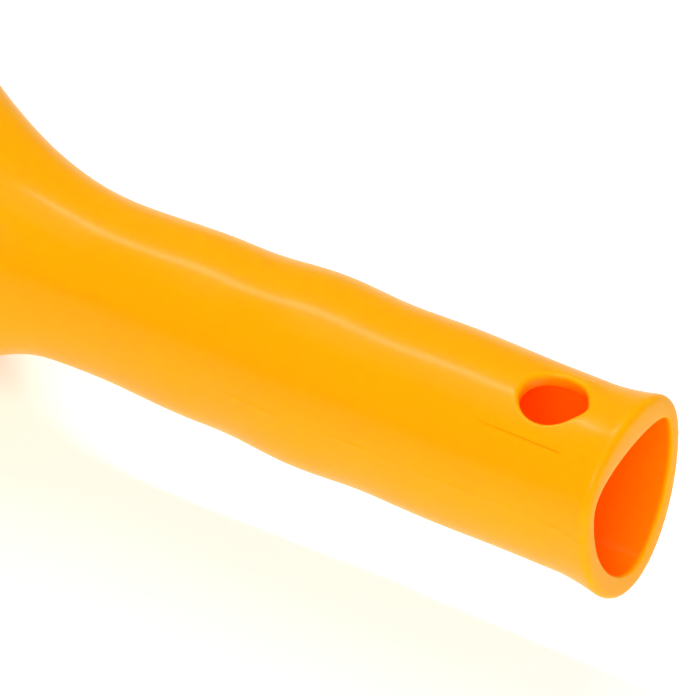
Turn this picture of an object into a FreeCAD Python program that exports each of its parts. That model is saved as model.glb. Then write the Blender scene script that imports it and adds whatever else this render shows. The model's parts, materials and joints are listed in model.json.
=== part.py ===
import FreeCAD, Part
import math
import os

# One-piece moulded hand scoop, millimetres.
# +X runs along the handle towards its open end, the bowl lies towards -X,
# +Z is up, Y = 0 is the plane of symmetry.
# The sections are drawn from the middle of the handle's open end, on the widest line
# of the grip; every piece is then moved so that the origin is half way along the scoop,
# on the plane its bowl stands on.

# grip
gripHalfWidth = 14.2
gripCrown = 13.0
gripDepth = 22.5
gripLength = 104.0

# finger waves: where they lie and how far they stand out of the straight grip
waveStart = 18.0
frontWaveAt = 36.0
frontWave = 0.25
saddleAt = 48.5
saddle = 0.02
rearWaveAt = 62.0
rearWave = 0.6
dipAt = 78.0
dip = -0.3
shoulderAt = 84.0
shoulder = -0.2
neckPinch = -0.86

# tapered hollow of the handle
coreHalfWidth = 12.5
coreCrown = 8.6
coreDepth = 19.4
coreCrownFullness = 0.4
coreBellyFullness = -0.15
coreDraft = 0.012
coreEnd = 132.0
coreBlindShare = 0.2
coreBlindRound = 0.9

# open end of the handle
flareHeight = 1.6
flareLength = 10.0
flarePower = 1.6
flareEnd = 18.0
lipRound = 1.7

# hang hole through the crown of the grip
holeSetback = 14.9
holeRadius = 5.6
holeTip = 7.1
holeBottom = 2.0

# neck and bowl
bowlBackWall = 140.0
bellyStart = 113.0
bellyFull = 163.0
bowlFull = 228.0
wall = 2.5
cavityBackRun = 28.0
cavityFirstShare = 0.3
overallLength = 330.0
bowlHalfWidth = 52.0
bowlFloor = 44.0
rimLevel = 20.0
bowlCrown = 70.0
cavityCrown = 40.0
rimStraightEnd = 200.0
lipLevel = -42.5
lipThickness = 1.3
lipLength = 12.0
frontBow = 210.0
floorFlatTrim = 0.4
beadHeight = 4.0
beadProud = 1.8
beadStart = 168.0
beadEnd = 304.0
beadFull = 198.0
beadFade = 30.0

# how far the regions of the moulding reach
flareRegion = 6.0
hangRegion = 24.0
bowlBackRegion = 198.0
floorHalfWidth = 30.0

# section shape: how full the crown, the sides and the floor are
gripCrownFullness = 0.11
gripBellyFullness = -0.03
bowlFullness = 0.45
bowlBellyFullness = 0.36
bowlFlatness = 0.5

# points round a section, and how far the cutting shapes reach past the scoop
sectionPoints = 28
margin = 6.0
far = 400.0


def blend(t):
    t = min(max(t, 0.0), 1.0)
    return (1.0 - math.cos(math.pi * t)) / 2.0


def alongStations(x, stations):
    # smooth value between neighbouring (distance, value) pairs
    for (a, va), (b, vb) in zip(stations, stations[1:]):
        if x <= b:
            return va + (vb - va) * blend((x - a) / (b - a))
    return stations[-1][1]


def gripOffset(x):
    # three finger waves around the grip, then the narrow neck
    stations = [
        (waveStart, 0.0),
        (frontWaveAt, frontWave),
        (saddleAt, saddle),
        (rearWaveAt, rearWave),
        (dipAt, dip),
        (shoulderAt, shoulder),
        (gripLength, neckPinch),
    ]
    offset = alongStations(x, stations)
    if x < flareLength:
        offset += flareHeight * ((flareLength - x) / flareLength) ** flarePower
    if x < lipRound:
        run = (lipRound - x) / lipRound
        offset -= lipRound * (1.0 - math.sqrt(max(1.0 - run * run, 0.0)))
    return offset


def growth(x, start, full):
    # 0 where the neck starts to swell, 1 where the bowl has its full size
    t = (x - start) / (full - start)
    t = min(max(t, 0.0), 1.0)
    return t * t * (3.0 - 2.0 * t)


def outerSize(x):
    # half width, crown height, depth and fullness at distance x from the open end
    offset = gripOffset(min(x, gripLength))
    g = growth(x, gripLength, bowlFull)
    drop = growth(x, bellyStart, bellyFull)
    width = gripHalfWidth + offset
    crown = gripCrown + offset
    depth = gripDepth + offset
    width += (bowlHalfWidth - width) * g
    crown += (bowlCrown - crown) * g
    depth += (bowlFloor + floorFlatTrim - depth) * drop
    crownFullness = gripCrownFullness + (bowlFullness - gripCrownFullness) * g
    bellyFullness = gripBellyFullness + (bowlBellyFullness - gripBellyFullness) * drop
    flatness = bowlFlatness * drop
    return width, crown, depth, crownFullness, bellyFullness, flatness


def sectionWire(x, size):
    width, crown, depth, crownFullness, bellyFullness, flatness = size
    points = []
    for i in range(sectionPoints):
        angle = 2.0 * math.pi * i / sectionPoints
        c = math.cos(angle)
        s = math.sin(angle)
        fullness = crownFullness if s >= 0.0 else bellyFullness
        height = crown if s >= 0.0 else depth
        y = width * c * (1.0 + fullness * s * s)
        z = height * s * (1.0 + flatness * c * c)
        points.append(FreeCAD.Vector(-x, y, z))
    curve = Part.BSplineCurve()
    curve.interpolate(Points=points, PeriodicFlag=True)
    return Part.Wire([curve.toShape()])


def loftBetween(start, end, steps, sizeAt):
    # smooth skin through evenly spaced sections, capped at both ends
    wires = []
    for i in range(steps + 1):
        x = start + (end - start) * i / steps
        wires.append(sectionWire(x, sizeAt(x)))
    return Part.makeLoft(wires, True, False)


def slab(x0, x1, y0, y1, z0, z1):
    # box between distances x0 and x1 from the open end
    return Part.makeBox(x1 - x0, y1 - y0, z1 - z0, FreeCAD.Vector(-x1, y0, z0))


def makeOuter():
    edge = loftBetween(0.0, lipRound, 5, outerSize)
    flare = loftBetween(lipRound, flareEnd, 6, outerSize)
    grip = loftBetween(flareEnd, gripLength, 16, outerSize)
    rest = loftBetween(gripLength, overallLength + margin, 20, outerSize)
    return edge.fuse([flare, grip, rest])


def makeBeadOuter():
    def proudSize(x):
        rise = blend((x - beadStart) / (beadFull - beadStart))
        fade = blend((beadEnd - x) / beadFade)
        extra = beadProud * rise * fade
        size = outerSize(x)
        return tuple(v + extra for v in size[:3]) + size[3:]

    return loftBetween(gripLength, overallLength, 28, proudSize)


def makeCore():
    # tapered hollow of the handle, open at the flared end and rounded at its blind end
    blindStart = (1.0 - coreBlindShare) * coreEnd

    def taper(x):
        draft = coreDraft * x - neckPinch * blend((x - rearWaveAt) / (gripLength - rearWaveAt))
        close = max((x - blindStart) / (coreEnd - blindStart), 0.0)
        shrink = math.sqrt(1.0 - (coreBlindRound * close) ** 2)
        return (
            (coreHalfWidth - draft) * shrink,
            (coreCrown - draft) * shrink,
            (coreDepth - draft) * shrink,
            coreCrownFullness,
            coreBellyFullness,
            0.0,
        )

    straight = loftBetween(-1.0, blindStart, 8, taper)
    return straight.fuse(loftBetween(blindStart, coreEnd, 6, taper))


def makeCavity():
    # inside of the bowl, rounded at the back, running out past the lip
    def inside(x):
        width, crown, depth, crownFull, bellyFull, flat = outerSize(x)
        t = min((x - bowlBackWall) / cavityBackRun, 1.0)
        rounded = math.sqrt(1.0 - (1.0 - t) ** 2)
        closing = cavityFirstShare + (1.0 - cavityFirstShare) * rounded
        thin = (wall - lipThickness) * blend((x - overallLength + lipLength) / lipLength)
        skin = wall - thin
        return (
            (width - skin) * closing,
            cavityCrown,
            (depth - skin) * closing,
            crownFull,
            bellyFull,
            flat,
        )

    wires = []
    steps = 9
    for i in range(steps + 1):
        turn = math.pi / 2.0 * i / steps
        x = bowlBackWall + cavityBackRun * (1.0 - math.cos(turn))
        wires.append(sectionWire(x, inside(x)))
    back = Part.makeLoft(wires, True, False)
    middle = loftBetween(bowlBackWall + cavityBackRun, overallLength - lipLength, 12, inside)
    lip = loftBetween(overallLength - lipLength, overallLength + margin, 5, inside)
    return [back, middle, lip]


def without(shape, tools):
    for tool in tools:
        shape = shape.cut(tool)
    return shape


def rimProfile(drop):
    # side view of everything above the rim line, lowered by drop
    fall = rimLevel - lipLevel
    run = overallLength - rimStraightEnd
    radius = (run * run + fall * fall) / (2.0 * fall)
    centre = FreeCAD.Vector(-rimStraightEnd, 0.0, rimLevel - radius)
    r = radius - drop
    endAngle = math.asin(run / radius) + margin / radius

    def onArc(angle):
        return centre + FreeCAD.Vector(-r * math.sin(angle), 0.0, r * math.cos(angle))

    start = FreeCAD.Vector(-gripLength, 0.0, rimLevel - drop)
    knee = onArc(0.0)
    middle = onArc(endAngle / 2.0)
    end = onArc(endAngle)
    outside = FreeCAD.Vector(end.x - margin, 0.0, end.z)
    top = FreeCAD.Vector(outside.x, 0.0, far)
    corner = FreeCAD.Vector(-gripLength, 0.0, far)
    edges = [
        Part.makeLine(start, knee),
        Part.Arc(knee, middle, end).toShape(),
        Part.makeLine(end, outside),
        Part.makeLine(outside, top),
        Part.makeLine(top, corner),
        Part.makeLine(corner, start),
    ]
    face = Part.Face(Part.Wire(edges))
    face.translate(FreeCAD.Vector(0.0, -far, 0.0))
    return face.extrude(FreeCAD.Vector(0.0, 2.0 * far, 0.0))


def makeFrontTool():
    # keeps everything behind the bowed front edge
    centre = FreeCAD.Vector(-overallLength + frontBow, 0.0, -far)
    disc = Part.makeCylinder(frontBow, 2.0 * far, centre)
    return disc.fuse(slab(-margin, overallLength - frontBow, -frontBow, frontBow, -far, far))


def makeHole():
    # round towards the bowl, drawn out to a soft tip towards the open end
    tangent = math.acos(holeRadius / holeTip)
    centre = FreeCAD.Vector(-holeSetback, 0.0, holeBottom)
    height = gripCrown + margin
    tx = holeRadius * math.cos(tangent)
    ty = holeRadius * math.sin(tangent)
    points = [
        centre + FreeCAD.Vector(tx, ty, 0.0),
        centre + FreeCAD.Vector(holeTip, 0.0, 0.0),
        centre + FreeCAD.Vector(tx, -ty, 0.0),
    ]
    bore = Part.makeCylinder(holeRadius, height, centre)
    tip = Part.makePolygon(points + [centre, points[0]])
    return bore.fuse(Part.Face(tip).extrude(FreeCAD.Vector(0.0, 0.0, height)))


def save(name, shape):
    solids = [s for s in shape.Solids if s.Volume > 1.0]
    shape = solids[0] if len(solids) == 1 else Part.makeCompound(solids)
    shape = shape.translated(FreeCAD.Vector(overallLength / 2.0, 0.0, bowlFloor))
    shape.exportStep("parts/" + name + ".step")
    print(name, len(solids), "solid", round(shape.Volume / 1000.0, 2), "cm3", shape.isValid())


os.makedirs("parts", exist_ok=True)

aboveRim = rimProfile(0.0)
band = rimProfile(beadHeight).cut(aboveRim).common(slab(gripLength, beadEnd, -far, far, -far, far))
cavity = makeCavity()
belowFloor = slab(-margin, far, -far, far, -far, -bowlFloor)

shell = without(makeOuter(), [aboveRim, makeCore()] + cavity + [makeHole(), belowFloor])
lower = shell.common(makeFrontTool()).cut(band)
bead = without(makeBeadOuter().common(band), cavity)


def stretch(shape, x0, x1):
    # the part of a shape between distances x0 and x1 from the open end
    return shape.common(slab(x0, x1, -far, far, -far, far))


lipEdge = overallLength - lipLength
pastLip = overallLength + margin
grip = stretch(lower, hangRegion, gripLength)
bowl = stretch(lower, bowlBackRegion, lipEdge)
side = floorHalfWidth
save("end_flare", stretch(lower, -margin, flareRegion))
save("hang_section", stretch(lower, flareRegion, hangRegion))
save("grip_top", grip.common(slab(0.0, far, -far, far, 0.0, far)))
save("grip_underside", grip.common(slab(0.0, far, -far, far, -far, 0.0)))
save("neck", stretch(lower, gripLength, bowlBackWall))
save("bowl_back", stretch(lower, bowlBackWall, bowlBackRegion))
save("bowl_floor", bowl.common(slab(0.0, far, -side, side, -far, 0.0)))
save("bowl_side_left", bowl.common(slab(0.0, far, side, far, -far, far)))
save("bowl_side_right", bowl.common(slab(0.0, far, -far, -side, -far, far)))
save("front_lip", stretch(lower, lipEdge, pastLip))
save("rim_back", stretch(bead, gripLength, bowlBackRegion))
save("rim_left", stretch(bead, bowlBackRegion, pastLip).common(slab(0.0, far, 0.0, far, -far, far)))
save("rim_right", stretch(bead, bowlBackRegion, pastLip).common(slab(0.0, far, -far, 0.0, -far, far)))
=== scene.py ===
import json
import math

import bmesh
import bpy
from mathutils import Matrix, Vector


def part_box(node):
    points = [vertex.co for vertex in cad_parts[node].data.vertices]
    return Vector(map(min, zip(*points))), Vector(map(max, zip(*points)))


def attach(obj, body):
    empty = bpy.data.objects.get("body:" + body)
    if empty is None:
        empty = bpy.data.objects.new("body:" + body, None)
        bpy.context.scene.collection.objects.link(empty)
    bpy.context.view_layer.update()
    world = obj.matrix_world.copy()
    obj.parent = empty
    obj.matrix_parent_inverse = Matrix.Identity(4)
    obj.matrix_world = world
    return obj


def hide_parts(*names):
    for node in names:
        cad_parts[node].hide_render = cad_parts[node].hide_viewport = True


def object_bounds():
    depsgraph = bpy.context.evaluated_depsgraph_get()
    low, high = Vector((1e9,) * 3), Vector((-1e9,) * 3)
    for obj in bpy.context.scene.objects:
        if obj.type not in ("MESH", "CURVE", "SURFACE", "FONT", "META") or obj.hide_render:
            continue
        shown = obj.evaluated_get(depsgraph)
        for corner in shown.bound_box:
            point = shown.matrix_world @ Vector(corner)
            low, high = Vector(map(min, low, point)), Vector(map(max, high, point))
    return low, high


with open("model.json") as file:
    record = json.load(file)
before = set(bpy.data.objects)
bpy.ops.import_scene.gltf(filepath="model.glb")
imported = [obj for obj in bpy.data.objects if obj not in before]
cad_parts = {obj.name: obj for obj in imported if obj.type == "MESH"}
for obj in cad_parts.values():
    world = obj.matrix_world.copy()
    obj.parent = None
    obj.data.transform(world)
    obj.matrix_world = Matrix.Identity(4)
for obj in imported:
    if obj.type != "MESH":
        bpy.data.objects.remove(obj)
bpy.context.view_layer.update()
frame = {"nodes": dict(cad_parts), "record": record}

mm = 0.001
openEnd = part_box("end_flare")[1].x  # where the handle ends
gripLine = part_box("grip_top")[0].z  # height of the grip's widest line
neckAt = (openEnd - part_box("neck")[1].x) / mm  # distances from the open end, in mm
cavityAt = (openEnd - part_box("bowl_back")[1].x) / mm
scoopLength = (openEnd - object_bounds()[0].x) / mm
rimHeight = (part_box("rim_left")[1].z - gripLine) / mm
hangHole = next(m for m in frame["record"]["mounts"] if m["name"] == "hang_hole")

rearWaveAt = 62.0  # in mm from the open end, where the rear finger wave is highest
neckPinch = 0.86  # how much the grip draws in at the neck, in mm

gripShape = {  # the hollow handle, in mm
    "halfWidth": 14.2,
    "crown": 13.0,
    "depth": 22.5,
    "crownFullness": 0.11,
    "bellyFullness": -0.03,
    "waves": [  # distance from the open end, swelling of the grip
        (18.0, 0.0), (36.0, 0.25), (48.5, 0.02), (rearWaveAt, 0.6),
        (78.0, -0.3), (84.0, -0.2), (neckAt, -neckPinch),
    ],
    "core": (12.5, 8.6, 19.4),
    "coreCrownFullness": 0.4,
    "coreBellyFullness": -0.15,
    "coreDraft": 0.012,
    "coreEnd": 132.0,
    "straightShare": 0.8,
    "blindShare": 0.2,
    "blindRound": 0.93,
    "flare": 1.6,
    "flareLength": 10.0,
    "flarePower": 1.6,
    "lipRound": 1.7,
    "innerRound": 0.3,
}

bowlShape = {  # the open bowl, in mm
    "fullFrom": 228.0,
    "bellyFrom": 113.0,
    "bellyFullFrom": 163.0,
    "halfWidth": 52.0,
    "crown": 70.0,
    "depth": 44.4,
    "floor": 44.0,
    "crownFullness": 0.45,
    "bellyFullness": 0.36,
    "flatness": 0.5,
    "wall": 2.5,
    "cavityCrown": 40.0,
    "backRun": 28.0,
    "rimFallsFrom": 200.0,
    "lipHeight": -42.5,
    "lipThickness": 1.3,
    "lipLength": 12.0,
    "frontBow": 210.0,
    "bowRun": 60.0,
    "beadProud": 1.8,
    "beadStart": 168.0,
    "beadFull": 198.0,
    "beadEnd": 304.0,
    "beadFade": 30.0,
    "beadDrop": 4.3,
    "beadSoftness": 1.3,
}


def ease(t):
    t = min(max(t, 0.0), 1.0)
    return t * t * (3.0 - 2.0 * t)


def halfCosine(t):
    t = min(max(t, 0.0), 1.0)
    return (1.0 - math.cos(math.pi * t)) / 2.0


def gripSwell(s):
    # how far the grip stands out at distance s from its open end
    waves = gripShape["waves"]
    swell = waves[-1][1]
    for (a, low), (b, high) in zip(waves, waves[1:]):
        if s <= b:
            swell = low + (high - low) * halfCosine((s - a) / (b - a))
            break
    reach = gripShape["flareLength"]
    if s < reach:
        swell += gripShape["flare"] * ((reach - s) / reach) ** gripShape["flarePower"]
    radius = gripShape["lipRound"]
    if s < radius:
        swell -= radius * (1.0 - math.sqrt(max(1.0 - ((radius - s) / radius) ** 2, 0.0)))
    return swell


def outerSection(s):
    # half width, crown, depth and how full the section is
    swell = gripSwell(min(s, neckAt))
    g = ease((s - neckAt) / (bowlShape["fullFrom"] - neckAt))
    start, full = bowlShape["bellyFrom"], bowlShape["bellyFullFrom"]
    drop = ease((s - start) / (full - start))

    def grow(start, end, share):
        return start + (end - start) * share

    return (
        grow(gripShape["halfWidth"] + swell, bowlShape["halfWidth"], g),
        grow(gripShape["crown"] + swell, bowlShape["crown"], g),
        grow(gripShape["depth"] + swell, bowlShape["depth"], drop),
        grow(gripShape["crownFullness"], bowlShape["crownFullness"], g),
        grow(gripShape["bellyFullness"], bowlShape["bellyFullness"], drop),
        bowlShape["flatness"] * drop,
    )


def coreSection(s):
    # the tapered hollow of the handle, narrower under the neck and round at its end
    end = gripShape["coreEnd"]
    draft = gripShape["coreDraft"] * s
    draft += neckPinch * halfCosine((s - rearWaveAt) / (neckAt - rearWaveAt))
    straight, blind = gripShape["straightShare"], gripShape["blindShare"]
    close = max((s - straight * end) / (blind * end), 0.0)
    shrink = math.sqrt(1.0 - (gripShape["blindRound"] * close) ** 2)
    width, crown, depth = [(size - draft) * shrink for size in gripShape["core"]]
    return (
        width, crown, depth, gripShape["coreCrownFullness"], gripShape["coreBellyFullness"], 0.0,
    )


def cavitySection(s):
    # the inside of the bowl, rounded at the back and thinner at the lip
    width, crown, depth, crownFullness, bellyFullness, flatness = outerSection(s)
    t = min((s - cavityAt) / bowlShape["backRun"], 1.0)
    closing = math.sqrt(max(1.0 - (1.0 - t) ** 2, 0.0))
    thin = bowlShape["wall"] - bowlShape["lipThickness"]
    lip = bowlShape["lipLength"]
    skin = bowlShape["wall"] - thin * halfCosine((s - scoopLength + lip) / lip)
    return (
        (width - skin) * closing, bowlShape["cavityCrown"], (depth - skin) * closing,
        crownFullness, bellyFullness, flatness,
    )


def onSection(section, angle):
    width, crown, depth, crownFullness, bellyFullness, flatness = section
    c, n = math.cos(angle), math.sin(angle)
    fullness, height = (crownFullness, crown) if n >= 0.0 else (bellyFullness, depth)
    return width * c * (1.0 + fullness * n * n), height * n * (1.0 + flatness * c * c)


def angleWhere(section, wanted, coordinate):
    # angle on the upper right of a section with that y (coordinate 0) or z (1)
    low, high = (0.0, math.pi / 2.0) if coordinate == 1 else (math.pi / 2.0, 0.0)
    if wanted < 0.0:
        low, high = -math.pi / 2.0, 0.0
    for _ in range(40):
        middle = (low + high) / 2.0
        if onSection(section, middle)[coordinate] < wanted:
            low = middle
        else:
            high = middle
    return (low + high) / 2.0


def rimAt(s):
    # height of the rim: level, then one long arc down to the lip
    start = bowlShape["rimFallsFrom"]
    fall = rimHeight - bowlShape["lipHeight"]
    run = scoopLength - start
    radius = (run * run + fall * fall) / (2.0 * fall)
    if s <= start:
        return rimHeight
    return rimHeight - radius + math.sqrt(max(radius * radius - (s - start) ** 2, 0.0))


meshPlan = {  # columns from the crown or rim down to the keel, rows along the scoop
    "edgeDrops": [0.0, 0.35, 0.8, 1.4, 2.2, 3.0, 3.5, 3.9, 4.3, 5.2, 6.4, 7.6, 9.0],
    "sideColumns": 40,
    "partingShare": 0.392,
    "partingColumn": 0.0042,
    "rimRound": 0.7,
    "roundingFrom": 2.0,
    "roundingRun": 15.0,
    "fineStretch": 26.0,
    "blindRows": 10,
    "hollowRows": 22,
    "fineHollowRows": 30,
    "fineGripRows": 44,
    "gripRows": 50,
    "neckRows": 22,
    "bowlBackRows": 14,
    "bowlRows": 46,
    "frontStretch": 14.0,
    "frontRows": 10,
    "frontEdge": 0.35,
    "frontShrink": 0.45,
    "mergeWithin": 0.00001,
    "sharpAngle": 42.0,
}

flash = {  # the thin flash along the parting line, in mm
    "height": 0.15,
    "mean": 0.5,
    "slow": (0.3, 0.31),
    "quick": (0.2, 0.83),
    "shift": 1.0,
    "fadeFrom": 78.0,
    "fadeRun": 14.0,
}


def sideShares():
    # even columns, with three close ones where the mould's halves meet
    count = meshPlan["sideColumns"]
    parting, close = meshPlan["partingShare"], meshPlan["partingColumn"]
    shares = [i / count for i in range(1, count + 1)]
    shares = [a for a in shares if abs(a - parting) > 1.5 * close]
    shares += [parting - close, parting, parting + close]
    return sorted(shares)


def flashAt(s):
    # the flash comes and goes along the parting line, and ends before the neck
    (slow, slowTurn), (quick, quickTurn) = flash["slow"], flash["quick"]
    wander = flash["mean"] + slow * math.sin(s * slowTurn)
    wander = wander + quick * math.sin(s * quickTurn + flash["shift"])
    return flash["height"] * wander * (1.0 - ease((s - flash["fadeFrom"]) / flash["fadeRun"]))


def beadAt(s):
    start, full, end = bowlShape["beadStart"], bowlShape["beadFull"], bowlShape["beadEnd"]
    rising = halfCosine((s - start) / (full - start))
    return rising * halfCosine((end - s) / bowlShape["beadFade"])


def wallShift(s, drop, scale, outside):
    # how far the wall leans out (outside) or back (inside) near the rim
    edge = meshPlan["rimRound"]
    rounding = 0.0
    if drop < edge:
        rounding = edge * (1.0 - math.sqrt(1.0 - ((edge - drop) / edge) ** 2))
    rounding *= scale * ease((s - cavityAt - meshPlan["roundingFrom"]) / meshPlan["roundingRun"])
    if not outside:
        return rounding
    along = ease((bowlShape["beadDrop"] - drop) / bowlShape["beadSoftness"])
    return bowlShape["beadProud"] * beadAt(s) * along - rounding


def halfRow(s, section, opened, outside, flashOut):
    # points from the crown or rim down the left side to the keel
    points = []
    plan = meshPlan["edgeDrops"]
    rim = rimAt(s)
    scale = min(1.0, 0.35 * (rim + section[2]) / plan[-1])
    turned = ease((s - neckAt - 4.0) / (crownOpensAt() - neckAt - 4.0)) if outside else 0.0
    for drop in plan:
        if opened:
            angle = angleWhere(section, rim - drop * scale, 1)
            y = onSection(section, angle)[0] + wallShift(s, drop, scale, outside)
            z = rim - drop * scale
        else:
            angle = angleWhere(section, drop * min(section[0] / 14.5, 1.2), 0)
            if turned:
                other = angleWhere(section, section[1] - drop, 1)
                angle += (other - angle) * turned
            y, z = onSection(section, angle)
        points.append((y, z))
    first = angle
    for share in sideShares():
        angle = first + (-math.pi / 2.0 - first) * share
        y, z = onSection(section, angle)
        if flashOut and abs(share - meshPlan["partingShare"]) < 1e-6:
            y += flashOut
        points.append((y, z))
    return points


def wholeRow(s, section, opened=False, outside=True, flashOut=0.0):
    # the row runs from the crown or rim, round the keel, and back up
    left = halfRow(s, section, opened, outside, flashOut)
    right = [(-y, z) for y, z in reversed(left[:-1])]
    bow, run = bowlShape["frontBow"], bowlShape["bowRun"]
    row = []
    for y, z in left + right:
        sag = bow - math.sqrt(bow * bow - min(abs(y), run) ** 2)
        back = sag * ease((s - scoopLength + run) / run)
        height = max(z, -bowlShape["floor"]) if outside else z
        row.append(Vector((openEnd - (s - back) * mm, y * mm, gripLine + height * mm)))
    return row


def extrudeRow(bm, row, points, closed=False):
    # the next row of the skin, pulled out of the last one
    ends = row[1:] + row[:1] if closed else row[1:]
    edges = [bm.edges.get(pair) for pair in zip(row, ends)]
    made = bmesh.ops.extrude_edge_only(bm, edges=edges)["geom"]
    fresh = {item for item in made if isinstance(item, bmesh.types.BMVert)}
    nextRow = []
    for vert in row:
        grown = [e.other_vert(vert) for e in vert.link_edges if e.other_vert(vert) in fresh]
        nextRow.append(grown[0])
    for vert, point in zip(nextRow, points):
        vert.co = point
    return nextRow


def spread(start, end, count):
    return [start + (end - start) * i / count for i in range(count + 1)]


def crownOpensAt():
    # where the neck's crown reaches the rim
    low, high = neckAt, bowlShape["fullFrom"]
    for _ in range(40):
        middle = (low + high) / 2.0
        if outerSection(middle)[1] < rimHeight:
            low = middle
        else:
            high = middle
    return high


def lipRows():
    # rounded edge of the open end, from the hollow to the outside
    rows = []
    inner = gripShape["innerRound"]
    for turn in spread(0.0, math.pi / 2.0, 3):
        grown = tuple(v + inner * (1.0 - math.cos(turn)) for v in coreSection(0.0)[:3])
        section = grown + coreSection(0.0)[3:]
        rows.append((inner * (1.0 - math.sin(turn)), section, False, False, 0.0))
    for turn in spread(0.0, math.pi / 2.0, 8):
        s = gripShape["lipRound"] * (1.0 - math.cos(turn))
        rows.append((s, outerSection(s), False, True, flashAt(s)))
    return rows


def rowPlan():
    # the skin: hollow, open end, outside of the scoop, lip, inside of the bowl
    rows = []
    end, fine = gripShape["coreEnd"], meshPlan["fineStretch"]
    straight, blind = gripShape["straightShare"], gripShape["blindShare"]
    for turn in spread(0.0, math.pi / 2.0, meshPlan["blindRows"]):
        s = end * (straight + blind * math.cos(turn))
        rows.append((s, coreSection(s), False, False, 0.0))
    hollow = spread(straight * end, fine, meshPlan["hollowRows"])[1:]
    hollow += spread(fine, 1.0, meshPlan["fineHollowRows"])[1:]
    for s in hollow:
        rows.append((s, coreSection(s), False, False, 0.0))
    coreRows = len(rows)
    rows += lipRows()
    radius = gripShape["lipRound"]
    opening = crownOpensAt()
    outside = spread(radius, fine, meshPlan["fineGripRows"])[1:]
    outside += spread(fine, neckAt, meshPlan["gripRows"])[1:]
    outside += spread(neckAt, opening - 0.4, meshPlan["neckRows"])[1:]
    for s in outside:
        rows.append((s, outerSection(s), False, True, flashAt(s)))
    openRows = []
    back = bowlShape["backRun"]
    front, edge = meshPlan["frontStretch"], meshPlan["frontEdge"]
    for turn in spread(0.0, math.pi / 2.0, meshPlan["bowlBackRows"]):
        share = 1.0 - math.cos(turn)
        openRows.append((opening + (cavityAt + back - opening) * share, cavityAt + back * share))
    for s in spread(cavityAt + back, scoopLength - front, meshPlan["bowlRows"])[1:]:
        openRows.append((s, s))
    for s in spread(scoopLength - front, scoopLength - edge, meshPlan["frontRows"])[1:]:
        openRows.append((s, s))
    for s, _ in openRows:
        rows.append((s, outerSection(s), True, True, 0.0))
    outerEnd = shrunk(outerSection(scoopLength), meshPlan["frontShrink"])
    innerEnd = shrunk(cavitySection(scoopLength), -edge)
    rows.append((scoopLength, outerEnd, True, True, 0.0))
    rows.append((scoopLength, innerEnd, True, False, 0.0))
    for _, s in reversed(openRows):
        rows.append((s, cavitySection(s), True, False, 0.0))
    return rows, len(openRows) + 1, coreRows


def shrunk(section, by):
    return (section[0] - by, section[1], section[2] - by) + section[3:]


def closeRims(bm, rows, count):
    # flat top of the rim, between the outer and the inner edge
    outer = rows[-2 * count:-count]
    inner = list(reversed(rows[-count:]))
    for side in (0, -1):
        chains = [[row[side] for row in part] for part in (outer, inner)]
        edges = [bm.edges.get(pair) for chain in chains for pair in zip(chain, chain[1:])]
        bmesh.ops.bridge_loops(bm, edges=[e for e in edges if e])


holeShape = {  # the hang hole, in mm
    "tipReach": 7.1,
    "tipSoftness": 0.22,
    "edgeRound": 0.9,
    "innerRound": 0.35,
    "wall": 2.7,
    # share of painted shade and painted glow at the foot of the crown's rounded edge round the
    # hole
    "rimDepth": 0.35,
    "crownReach": 6.0,
    "roofReach": 7.0,
    "roofGap": 0.1,
    "roofRise": (0.0, 0.15, 0.9, 1.6),
    "ringShares": (0.0, 0.3, 0.6, 0.85),
    "patchReach": 10.2,
    "patchShare": 0.6,
    "patchMargin": 0.025,
    "ringMargins": (0.35, 0.3),
    "around": 96,
}


def holeReach(turn, away):
    # outline of the hang hole, grown by away: round, with a soft tip to the open end
    radius = hangHole["dims"]["r_mm"]
    tip = math.acos(radius / holeShape["tipReach"])
    turn = turn - 2.0 * math.pi if turn > math.pi else turn
    lean = max(tip - math.hypot(turn, holeShape["tipSoftness"]), 0.0)
    return (radius + away) / math.cos(lean)


def openPatch(bm, sectionAt, low, high):
    # takes out the crown's faces round the hole, and gives the edge left
    centre = Vector(hangHole["pos_m"])
    found = []
    for face in bm.faces:
        middle = (face.calc_center_median() - centre) / mm
        if abs(middle.x) < holeShape["patchReach"] and low < middle.z < high:
            width = sectionAt((openEnd - centre.x) / mm - middle.x)[0]
            if abs(middle.y) < (holeShape["patchShare"] - holeShape["patchMargin"]) * width:
                found.append(face)
    inside = set(found)
    rim = [e for f in found for e in f.edges if sum(g in inside for g in e.link_faces) == 1]
    ends = [e.other_vert(v).co for e in rim for v in e.verts]
    bmesh.ops.delete(bm, geom=found, context="FACES")
    reach = min(max(p.x for p in ends) - centre.x, centre.x - min(p.x for p in ends)) / mm
    return [e for e in rim if e.is_valid], reach, max(p.y for p in ends) / mm


def ringOnScoop(reachAt, sectionAt, lift):
    # a ring of places over the crown or over the hollow's roof
    places = []
    count = holeShape["around"]
    for i in range(count):
        turn = 2.0 * math.pi * i / count
        reach = reachAt(turn)
        x = hangHole["pos_m"][0] + reach * math.cos(turn) * mm
        y = reach * math.sin(turn)
        section = sectionAt((openEnd - x) / mm)
        z = onSection(section, angleWhere(section, abs(y), 0))[1] + lift
        places.append(Vector((x, y * mm, gripLine + z * mm)))
    return places


def patchRings(sectionAt, away, reachX, reachY, lifts):
    # rings from the edge of the patch in to the hole's own outline
    marginX, marginY = holeShape["ringMargins"]

    def squareReach(turn):
        across = (reachX - marginX) / max(abs(math.cos(turn)), 0.001)
        return min(across, (reachY - marginY) / max(abs(math.sin(turn)), 0.001))

    rings = []
    for share, lift in zip(holeShape["ringShares"], lifts):
        def reachAt(turn):
            inner = holeReach(turn, away)
            return inner + (squareReach(turn) - inner) * (1.0 - share)
        rings.append(ringOnScoop(reachAt, sectionAt, lift))
    return rings


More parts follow.
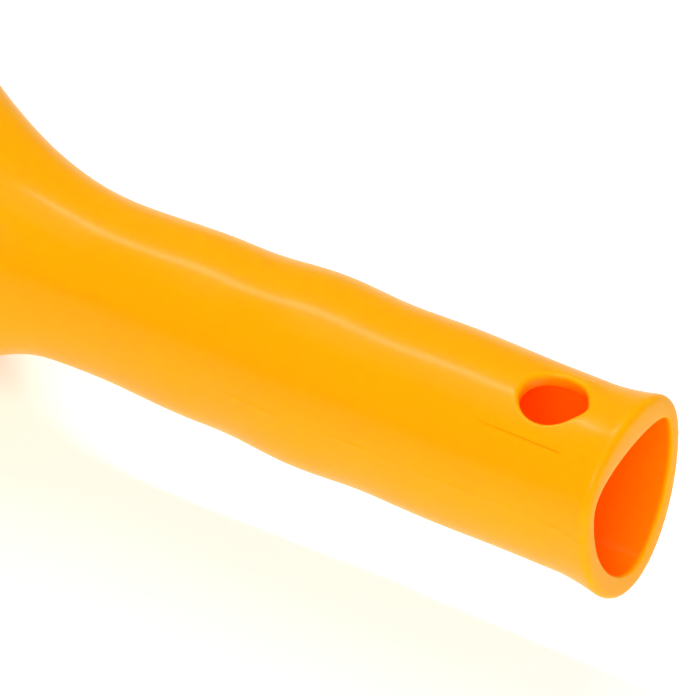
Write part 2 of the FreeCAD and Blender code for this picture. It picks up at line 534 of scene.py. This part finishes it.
def cutHangHole(bm):
    # rounded edge on the crown, plain wall, small round on the hollow's side
    hollow = bm.verts.layers.float["hollow"]
    rimOut, outX, outY = openPatch(bm, outerSection, 0.0, holeShape["crownReach"])
    rimIn, inX, inY = openPatch(bm, coreSection, -holeShape["roofReach"], 0.0)
    edge, inner = holeShape["edgeRound"], holeShape["innerRound"]
    # each ring carries its share of painted shade and painted glow: none round the patch, rising
    # over the rounded edge, full on the wall and the hollow's roof
    rings = [(ring, 0.0) for ring in patchRings(outerSection, edge, outX, outY, (0.0,) * 4)]
    for turn in spread(0.0, math.pi / 2.0, 6):
        away, sink = edge * (1.0 - math.sin(turn)), edge * (1.0 - math.cos(turn))
        ring = ringOnScoop(lambda t: holeReach(t, away), outerSection, -sink)
        rings.append((ring, holeShape["rimDepth"] * sink / edge))
    for turn in spread(0.0, math.pi / 2.0, 3):
        away, lift = inner * (1.0 - math.cos(turn)), inner * (1.0 - math.sin(turn))
        lift -= holeShape["wall"]
        rings.append((ringOnScoop(lambda t: holeReach(t, away), outerSection, lift), 1.0))
    # the hollow's roof rises a little towards the hole, so the hole's wall is thinner
    roof = inner + holeShape["roofGap"]
    for ring in reversed(patchRings(coreSection, roof, inX, inY, holeShape["roofRise"])):
        rings.append((ring, 1.0))
    row = [bm.verts.new(place) for place in rings[0][0]]
    first = [bm.edges.new(pair) for pair in zip(row, row[1:] + row[:1])]
    # the painted shade and glow shares go onto the new vertices
    for places, depth in rings[1:]:
        row = extrudeRow(bm, row, places, closed=True)
        for vert in row:
            vert[hollow] = depth
    last = [bm.edges.get(pair) for pair in zip(row, row[1:] + row[:1])]
    bmesh.ops.bridge_loops(bm, edges=rimOut + first)
    bmesh.ops.bridge_loops(bm, edges=last + rimIn)


def makeMoulding():
    plan, rimCount, coreRows = rowPlan()
    bm = bmesh.new()
    hollow = bm.verts.layers.float.new("hollow")  # 1 on the walls of the handle's hollow: where painted shade and painted glow go
    rows = []
    for s, section, opened, outside, flashOut in plan:
        points = wholeRow(s, section, opened, outside, flashOut)
        if rows:
            rows.append(extrudeRow(bm, rows[-1], points))
        else:
            first = [bm.verts.new(p) for p in points]
            for pair in zip(first, first[1:]):
                bm.edges.new(pair)
            rows.append(first)
    # full painted shade and painted glow on the walls of the handle's hollow
    for row in rows[:coreRows]:
        for vert in row:
            vert[hollow] = 1.0
    closeRims(bm, rows, rimCount)
    bmesh.ops.remove_doubles(bm, verts=bm.verts, dist=meshPlan["mergeWithin"])
    cutHangHole(bm)
    print("hang hole cut")
    openEdges = [e for e in bm.edges if len(e.link_faces) == 1]
    bmesh.ops.holes_fill(bm, edges=openEdges, sides=0)
    bmesh.ops.recalc_face_normals(bm, faces=bm.faces)
    for face in bm.faces:
        face.smooth = True
    for e in bm.edges:
        e.smooth = e.calc_face_angle(0.0) < math.radians(meshPlan["sharpAngle"])
    loose = [e for e in bm.edges if not e.is_manifold]
    print("moulding:", len(bm.faces), "faces,", len(loose), "open edges")
    mesh = bpy.data.meshes.new("scoopMoulding")
    bm.to_mesh(mesh)
    bm.free()
    piece = bpy.data.objects.new("scoopMoulding", mesh)
    bpy.context.scene.collection.objects.link(piece)
    return piece


class Wire:
    # one output of a shader node, so that sums on it add Math nodes
    def __init__(self, tree, socket=None):
        self.tree = tree
        self.socket = socket

    def node(self, kind, sockets, settings=None, output=0):
        made = self.tree.nodes.new(kind)
        for name, value in (settings or {}).items():
            setattr(made, name, value)
        for name, value in sockets.items():
            if isinstance(value, Wire):
                self.tree.links.new(value.socket, made.inputs[name])
            else:
                made.inputs[name].default_value = value
        return Wire(self.tree, made.outputs[output] if made.outputs else None)

    def maths(self, operation, *values):
        return self.node("ShaderNodeMath", dict(enumerate(values)), {"operation": operation})

    def __add__(self, other):
        return self.maths("ADD", self, other)

    def __sub__(self, other):
        return self.maths("SUBTRACT", self, other)

    def __rsub__(self, other):
        return self.maths("SUBTRACT", other, self)

    def __mul__(self, other):
        return self.maths("MULTIPLY", self, other)

    def __truediv__(self, other):
        return self.maths("DIVIDE", self, other)

    __radd__ = __add__
    __rmul__ = __mul__

    def between(self, low, high):
        # 0 below low, 1 above high
        sockets = {"Value": self, "From Min": low, "From Max": high}
        return self.node("ShaderNodeMapRange", sockets, {"interpolation_type": "SMOOTHSTEP"})

    def mix(self, first, second):
        # first where this is 0, second where it is 1
        sockets = {0: self, 6: first, 7: second}
        return self.node("ShaderNodeMix", sockets, {"data_type": "RGBA"}, 2)

    def noise(self, place, scale, detail=3.0, roughness=0.5, distortion=0.0):
        sockets = {"Vector": place, "Scale": scale, "Detail": detail,
                   "Roughness": roughness, "Distortion": distortion}
        return self.node("ShaderNodeTexNoise", sockets)


plasticFinish = {  # the orange moulded plastic
    "body": (1.0, 0.40, 0.0, 1.0),
    "deep": (0.985, 0.375, 0.0, 1.0),
    "rubbed": (1.0, 0.43, 0.012, 1.0),
    # painted shade: deeper red for the walls of the handle's hollow and the hang hole
    "throughWalls": (1.0, 0.22, 0.0, 1.0),
    # painted glow: faint red emission on the walls of the handle's hollow and the hang hole
    "litWalls": (0.15, 0.004, 0.0, 1.0),
    "sheen": 0.11,
    "roughness": 0.28,
    "skin": 1400.0,
    "skinHeight": 0.000004,
    "skinStrength": 0.55,
    "waves": 2.2,
    "wavesScale": 95.0,
    "flowScale": 26.0,
    "mottleScale": 210.0,
    "scratchScale": 900.0,
    "wornScale": 34.0,
    "scuffs": 0.08,
    "scuffTone": 0.3,
    "scuffDepth": 0.3,
    "throughWallsScale": 0.004,
}


def makePlastic():
    # satin moulded plastic: fine orange skin, faint flow tones, light scuffs, and painted shade
    # and glow inside the hollow
    finish = plasticFinish
    material = bpy.data.materials.new("orangePlastic")
    material.use_nodes = True
    tree = material.node_tree
    tree.nodes.clear()
    start = Wire(tree)
    place = start.node("ShaderNodeTexCoord", {}, output=3)
    stretched = start.node("ShaderNodeMapping", {"Vector": place, "Scale": (0.35, 1.0, 1.0)})
    flow = start.noise(stretched, finish["flowScale"], 3.0, 0.55, 0.4).between(0.3, 0.72)
    mottle = start.noise(place, finish["mottleScale"], 2.0)
    scratchPlace = start.node("ShaderNodeMapping", {
        "Vector": place, "Rotation": (0.2, 0.1, 0.5), "Scale": (0.22, 1.0, 1.0)})
    scratches = start.noise(scratchPlace, finish["scratchScale"], 1.0).between(0.66, 0.78)
    worn = start.noise(place, finish["wornScale"], 4.0).between(0.5, 0.75)
    scuffs = scratches * worn
    base = flow.mix(finish["body"], finish["deep"])
    base = (scuffs * finish["scuffTone"]).mix(base, finish["rubbed"])
    # painted shade and painted glow: a deeper red base colour and a faint red emission inside
    # the handle's hollow and the hang hole, standing in for light through the thin walls
    inside = start.node("ShaderNodeAttribute", {}, {"attribute_name": "hollow"}, 2)
    depth = inside.between(0.0, 1.0)
    base = depth.mix(base, finish["throughWalls"])
    # painted glow: red emission where the hollow mask is set
    paintedGlow = depth.mix((0.0, 0.0, 0.0, 1.0), finish["litWalls"])
    roughness = finish["roughness"] + 0.05 * mottle + finish["scuffs"] * scuffs + 0.03 * flow
    skin = start.noise(place, finish["skin"], 2.0, 0.5)
    wavy = start.noise(place, finish["wavesScale"], 1.0)
    height = skin + finish["waves"] * wavy - finish["scuffDepth"] * scuffs
    normal = start.node("ShaderNodeBump", {
        "Height": height, "Strength": finish["skinStrength"],
        "Distance": finish["skinHeight"]})
    surface = start.node("ShaderNodeBsdfPrincipled", {
        "Base Color": base, "Roughness": roughness, "Normal": normal, "IOR": 1.46,
        "Specular IOR Level": 0.03, "Coat Weight": finish["sheen"], "Coat Roughness": 0.2,
        "Coat IOR": 1.5, "Subsurface Weight": 0.55,
        "Subsurface Scale": finish["throughWallsScale"], "Subsurface Radius": (1.0, 0.35, 0.05),
        "Emission Color": paintedGlow, "Emission Strength": 1.0})
    start.node("ShaderNodeOutputMaterial", {"Surface": surface})
    return material


studio = {  # floor, background, lights and camera, in metres; the sensor in mm
    "floorSize": 6.0,
    "floorColour": (0.94, 0.94, 0.935, 1.0),
    "skyColour": (1.0, 0.99, 0.985, 1.0),
    "skyStrength": 0.25,
    "floorGlow": 0.31,
    "floorRoughness": 0.9,
    "floorSheen": 0.1,
    "aimBack": 0.05,
    "softboxes": [  # turn, lift, distance, width, height, watts, seen from the grip
        (133.0, 56.0, 0.9, 0.5, 0.02, 2.9),
        (300.0, 44.0, 1.5, 0.9, 0.9, 15.6),
        (110.0, 78.0, 1.6, 1.4, 0.9, 5.5),
    ],
    "azimuth": 35.74,
    "elevation": 42.87,
    "roll": -4.37,
    "sensor": 36.0,
    "farthest": 20.0,
    "distance": 0.8143,
    "viewWidth": 0.11336,
    "endRight": 0.04655,
    "endDown": 0.02218,
}


def makeFloor():
    bm = bmesh.new()
    bmesh.ops.create_grid(bm, x_segments=8, y_segments=8, size=studio["floorSize"] / 2.0)
    mesh = bpy.data.meshes.new("floor")
    bm.to_mesh(mesh)
    bm.free()
    floor = bpy.data.objects.new("floor", mesh)
    bpy.context.scene.collection.objects.link(floor)
    material = bpy.data.materials.new("paleFloor")
    material.use_nodes = True
    shader = material.node_tree.nodes["Principled BSDF"]
    shader.inputs["Base Color"].default_value = studio["floorColour"]
    shader.inputs["Roughness"].default_value = studio["floorRoughness"]
    shader.inputs["Specular IOR Level"].default_value = studio["floorSheen"]
    shader.inputs["Emission Color"].default_value = studio["floorColour"]
    shader.inputs["Emission Strength"].default_value = studio["floorGlow"]
    mesh.materials.append(material)


def makeLights():
    world = bpy.data.worlds.new("studio")
    world.use_nodes = True
    sky = world.node_tree.nodes["Background"]
    sky.inputs["Color"].default_value = studio["skyColour"]
    sky.inputs["Strength"].default_value = studio["skyStrength"]
    bpy.context.scene.world = world
    aim = Vector((openEnd - studio["aimBack"], 0.0, gripLine))
    for number, (turn, lift, away, width, height, watts) in enumerate(studio["softboxes"]):
        turn, lift = math.radians(turn), math.radians(lift)
        towards = Vector((math.cos(turn) * math.cos(lift), math.sin(turn) * math.cos(lift),
                          math.sin(lift)))
        lamp = bpy.data.lights.new("softbox%d" % number, "AREA")
        lamp.shape = "RECTANGLE"
        lamp.size, lamp.size_y = width, height
        lamp.energy = watts
        item = bpy.data.objects.new("softbox%d" % number, lamp)
        item.location = aim + towards * away
        back = towards
        right = Vector((1.0, 0.0, 0.0))
        right = (right - back * right.dot(back)).normalized()
        up = back.cross(right)
        item.matrix_world = Matrix((right, up, back)).transposed().to_4x4()
        item.matrix_world.translation = aim + towards * away
        bpy.context.scene.collection.objects.link(item)


def makeCamera():
    # a long lens from above, on the open end's side
    turn, lift = math.radians(studio["azimuth"]), math.radians(studio["elevation"])
    right = Vector((math.cos(turn), math.sin(turn), 0.0))
    back = Vector((math.sin(turn) * math.cos(lift), -math.cos(turn) * math.cos(lift),
                   math.sin(lift)))
    up = back.cross(right)
    roll = math.radians(studio["roll"])
    level, upright = right.copy(), up.copy()
    right = level * math.cos(roll) + upright * math.sin(roll)
    up = upright * math.cos(roll) - level * math.sin(roll)
    lens = bpy.data.cameras.new("camera")
    lens.sensor_width = studio["sensor"]
    lens.lens = studio["distance"] / studio["viewWidth"] * lens.sensor_width
    lens.clip_end = studio["farthest"]
    camera = bpy.data.objects.new("camera", lens)
    place = Vector((openEnd, 0.0, gripLine)) + back * studio["distance"]
    place += up * studio["endDown"] - right * studio["endRight"]
    camera.matrix_world = Matrix((right, up, back)).transposed().to_4x4()
    camera.matrix_world.translation = place
    bpy.context.scene.collection.objects.link(camera)
    bpy.context.scene.camera = camera


bpy.context.scene.view_settings.view_transform = "Standard"
makeCamera()
makeLights()
makeFloor()
print("studio ready")
moulding = makeMoulding()
moulding.data.materials.append(makePlastic())
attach(moulding, "root")
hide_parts(*frame["nodes"])
print("scoop ready")
